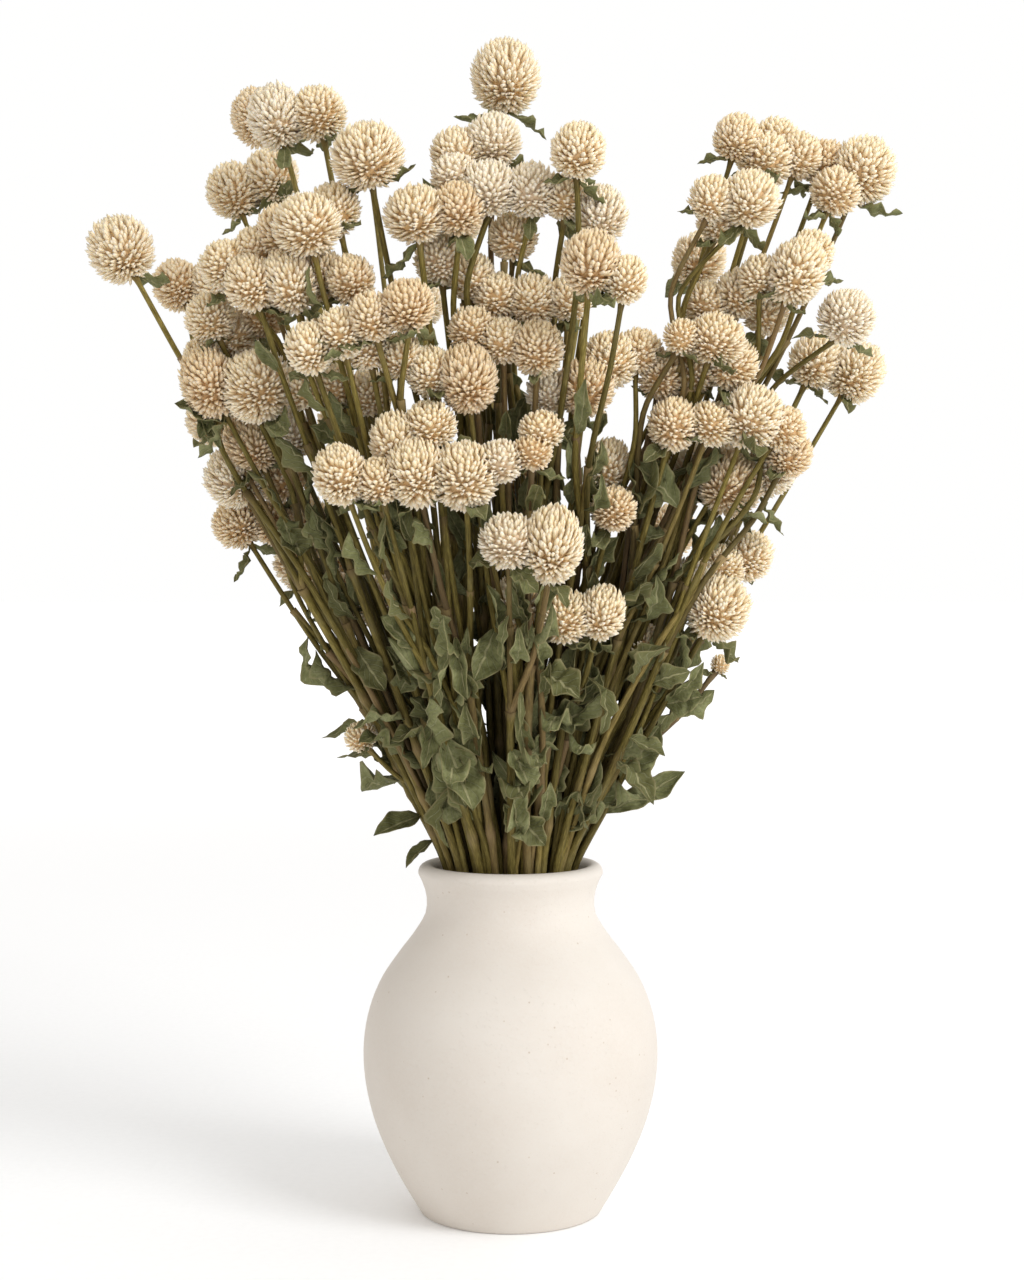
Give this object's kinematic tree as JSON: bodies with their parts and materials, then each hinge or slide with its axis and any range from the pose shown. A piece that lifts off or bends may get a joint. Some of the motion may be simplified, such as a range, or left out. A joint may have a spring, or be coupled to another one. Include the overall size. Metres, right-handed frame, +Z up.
{
  "type": "vase of dried globe amaranth",
  "caption": "Round-bellied matte stoneware vase holding a wide, loose fan of dried cream globe amaranth on thin branching stems.",
  "frame": {"origin": "centre of the vase's flat foot, on the surface that it stands on", "axes": "+Z up along the vase's axis, -Y towards the side that the picture shows, +X to that view's right"},
  "size_m": [0.3089, 0.2384, 0.4597],
  "materials": {
    "vase": "matte",
    "blooms": "matte",
    "stems_and_leaves": "matte"
  },
  "bodies": {
    "root": {"bloom_01": "blooms", "bloom_03": "blooms", "bloom_10": "blooms", "bloom_11": "blooms", "bloom_13": "blooms", "bloom_14": "blooms", "bloom_22": "blooms", "bloom_23": "blooms", "bloom_24": "blooms", "bloom_25": "blooms", "bloom_29": "blooms", "bloom_32": "blooms", "bloom_33": "blooms", "bloom_34": "blooms", "bloom_37": "blooms", "bloom_39": "blooms", "bloom_40": "blooms", "bloom_41": "blooms", "bloom_42": "blooms", "bloom_43": "blooms", "bloom_47": "blooms", "bloom_48": "blooms", "bloom_cluster_02": "blooms", "bloom_cluster_04": "blooms", "bloom_cluster_05": "blooms", "bloom_cluster_06": "blooms", "bloom_cluster_07": "blooms", "bloom_cluster_08": "blooms", "bloom_cluster_09": "blooms", "bloom_cluster_12": "blooms", "bloom_cluster_15": "blooms", "bloom_cluster_16": "blooms", "bloom_cluster_17": "blooms", "bloom_cluster_18": "blooms", "bloom_cluster_19": "blooms", "bloom_cluster_20": "blooms", "bloom_cluster_21": "blooms", "bloom_cluster_26": "blooms", "bloom_cluster_27": "blooms", "bloom_cluster_28": "blooms", "bloom_cluster_30": "blooms", "bloom_cluster_31": "blooms", "bloom_cluster_35": "blooms", "bloom_cluster_36": "blooms", "bloom_cluster_38": "blooms", "bloom_cluster_44": "blooms", "bloom_cluster_45": "blooms", "bloom_cluster_46": "blooms", "plant_01": "stems_and_leaves", "plant_02": "stems_and_leaves", "plant_03": "stems_and_leaves", "plant_04": "stems_and_leaves", "plant_05": "stems_and_leaves", "plant_06": "stems_and_leaves", "plant_07": "stems_and_leaves", "plant_08": "stems_and_leaves", "plant_09": "stems_and_leaves", "plant_10": "stems_and_leaves", "vase": "vase"}
  },
  "joints": []
}
